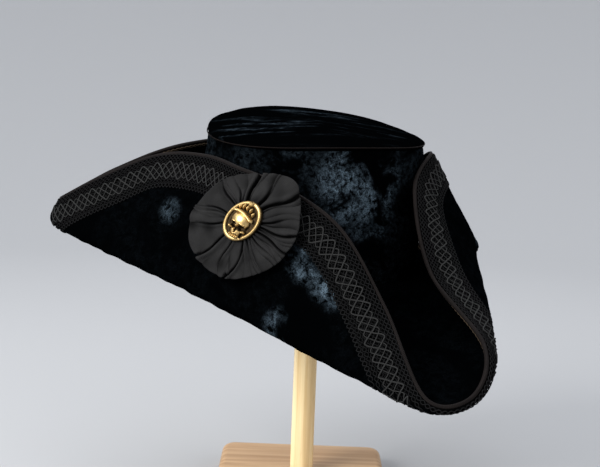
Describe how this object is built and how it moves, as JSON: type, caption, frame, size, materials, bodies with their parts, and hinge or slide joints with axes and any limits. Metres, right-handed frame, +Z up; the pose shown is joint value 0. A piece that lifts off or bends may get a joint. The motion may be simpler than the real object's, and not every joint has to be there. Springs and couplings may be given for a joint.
{
  "type": "tricorn hat on a wooden stand",
  "caption": "Velvet three-cornered hat with bound and braided edge, gathered rosette and cast badge, held up by a plain wooden post on a square board.",
  "frame": {"origin": "middle of the stand board's underside", "axes": "+Z up the post; the hat's front corner points to -X, and the flap with the rosette faces -Y"},
  "size_m": [0.4132, 0.4141, 0.3547],
  "materials": {
    "velvet": "crushed velvet, black with a blue-grey sheen",
    "binding_cloth": "folded grosgrain binding, dark brownish grey",
    "braid": "openwork braid, charcoal",
    "ribbon": "gathered matte ribbon, charcoal",
    "antique_brass": "cast and patinated, bright on the high places",
    "post_wood": "pale bare softwood, sanded",
    "board_wood": "tan wood, straight grain, satin"
  },
  "bodies": {
    "root": {"stand_base": "board_wood", "stand_post": "post_wood", "stand_cap": "post_wood", "crown_side": "velvet", "crown_top": "velvet", "brim": "velvet", "brim_binding": "binding_cloth", "braid_trim": "braid", "cockade": "ribbon", "badge": "antique_brass"}
  },
  "joints": []
}
